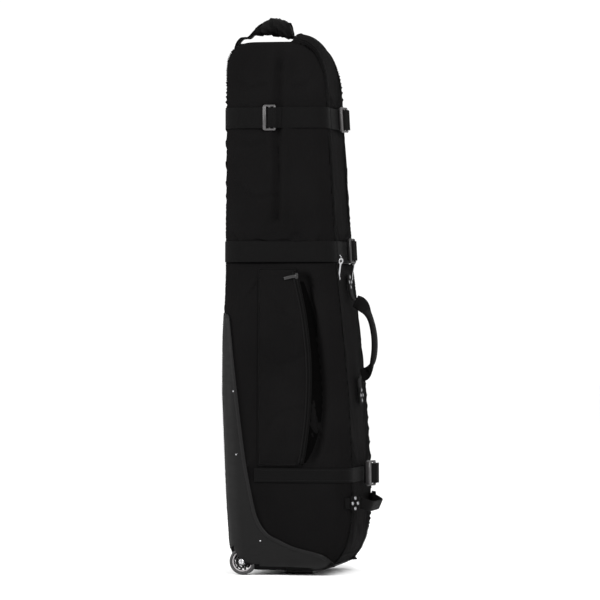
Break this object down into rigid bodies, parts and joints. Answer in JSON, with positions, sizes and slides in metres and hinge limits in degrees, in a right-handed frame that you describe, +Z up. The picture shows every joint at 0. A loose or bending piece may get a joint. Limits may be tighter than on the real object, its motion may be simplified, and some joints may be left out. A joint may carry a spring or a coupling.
{
  "type": "golf travel case",
  "caption": "Tall padded black fabric golf travel case with a moulded boot, wheels, a zip-open front cover, webbing straps, carrying handles and side pockets.",
  "frame": {"origin": "on the floor, under the middle of the case's box", "axes": "+Z up along the standing case, -Y towards the front with the carry handle, +Y towards the wheels, X lateral"},
  "size_m": [0.3246, 0.3618, 1.3335],
  "materials": {
    "ballistic_fabric": "matt woven ballistic nylon",
    "foam_padding": "dark brushed tricot over closed-cell foam",
    "webbing": "matt ribbed nylon webbing",
    "boot_plastic": "pebbled satin moulded plastic",
    "buckle_plastic": "satin grey moulded plastic",
    "zip_tape": "nylon coil on woven tape",
    "silver_metal": "polished nickel plate",
    "tyre": "smooth polyurethane",
    "hub_plastic": "grey moulded nylon",
    "bearing_steel": "turned steel"
  },
  "bodies": {
    "case": {"boot_shell": "boot_plastic", "boot_edge_left": "boot_plastic", "boot_edge_right": "boot_plastic", "foot_skid": "boot_plastic", "lower_side_panel_left": "ballistic_fabric", "lower_side_panel_right": "ballistic_fabric", "upper_side_panel_left": "ballistic_fabric", "upper_side_panel_right": "ballistic_fabric", "lower_front_panel": "ballistic_fabric", "bottom_panel": "ballistic_fabric", "back_panel": "ballistic_fabric", "top_panel": "ballistic_fabric", "lower_padding": "foam_padding", "upper_padding": "foam_padding", "main_zip": "zip_tape", "side_pocket_left": "ballistic_fabric", "side_pocket_right": "ballistic_fabric", "neck_strap": "webbing", "waist_strap": "webbing", "lower_strap": "webbing", "neck_lock_left": "buckle_plastic", "neck_lock_right": "buckle_plastic", "neck_lock_back": "buckle_plastic", "lower_lock_front": "buckle_plastic", "carry_anchor_upper": "webbing", "carry_anchor_lower": "webbing", "carry_rivets_upper": "silver_metal", "carry_rivets_lower": "silver_metal", "top_anchor_rear": "webbing", "top_anchor_front": "webbing", "foot_anchor_left": "webbing", "foot_anchor_right": "webbing", "foot_rivets_left": "silver_metal", "foot_rivets_right": "silver_metal", "axle_bolt_left": "silver_metal", "axle_bolt_right": "silver_metal", "wheel_housing_left": "boot_plastic", "wheel_housing_right": "boot_plastic"},
    "cover": {"front_cover": "ballistic_fabric", "front_cover_padding": "foam_padding", "neck_strap_front": "webbing", "waist_strap_front": "webbing", "neck_lock_front": "buckle_plastic", "waist_lock_front": "buckle_plastic"},
    "zip_slider_l": {"zip_slider_left": "silver_metal"},
    "zip_slider_r": {"zip_slider_right": "silver_metal"},
    "zip_puller_l": {"zip_puller_left": "silver_metal"},
    "zip_puller_r": {"zip_puller_right": "silver_metal"},
    "carry_loop": {"carry_handle": "webbing"},
    "top_loop": {"top_handle_strap": "webbing", "top_handle_grip": "webbing"},
    "foot_loop": {"foot_handle": "webbing"},
    "wheel_l": {"tyre_left": "tyre", "wheel_hub_left": "hub_plastic", "wheel_bearings_left": "bearing_steel"},
    "wheel_r": {"tyre_right": "tyre", "wheel_hub_right": "hub_plastic", "wheel_bearings_right": "bearing_steel"}
  },
  "joints": [
    {"name": "cover_hinge", "type": "hinge", "parent": "case", "child": "cover", "pos_m": [0, -0.1151, 0.741], "axis": [1, 0, 0], "range_deg": [0, 100]},
    {"name": "zip_slide_left", "type": "slide", "parent": "case", "child": "zip_slider_l", "axis": [0.0149, 0.061, 0.998], "range_m": [0, 0.38]},
    {"name": "zip_slide_right", "type": "slide", "parent": "case", "child": "zip_slider_r", "axis": [-0.0149, 0.061, 0.998], "range_m": [0, 0.38]},
    {"name": "zip_pull_left", "type": "hinge", "parent": "zip_slider_l", "child": "zip_puller_l", "pos_m": [-0.08575, -0.10145, 0.754], "axis": [-1, 0, 0], "range_deg": [0, 140]},
    {"name": "zip_pull_right", "type": "hinge", "parent": "zip_slider_r", "child": "zip_puller_r", "pos_m": [0.08575, -0.10145, 0.754], "axis": [-1, 0, 0], "range_deg": [0, 140]},
    {"name": "carry_swing", "type": "hinge", "parent": "case", "child": "carry_loop", "pos_m": [0, -0.1296, 0.561], "axis": [0, 0.084, 0.9965], "range_deg": [-30, 30]},
    {"name": "top_swing", "type": "hinge", "parent": "case", "child": "top_loop", "pos_m": [0, 0.0884, 1.2865], "axis": [0, 0.9997, -0.0261], "range_deg": [-30, 30]},
    {"name": "foot_swing", "type": "hinge", "parent": "case", "child": "foot_loop", "pos_m": [0, -0.1491, 0.172], "axis": [-1, 0, 0], "range_deg": [-12, 45]},
    {"name": "wheel_spin_left", "type": "hinge", "parent": "case", "child": "wheel_l", "pos_m": [-0.131, 0.1239, 0.032], "axis": [1, 0, 0], "continuous": true},
    {"name": "wheel_spin_right", "type": "hinge", "parent": "case", "child": "wheel_r", "pos_m": [0.131, 0.1239, 0.032], "axis": [1, 0, 0], "continuous": true}
  ]
}
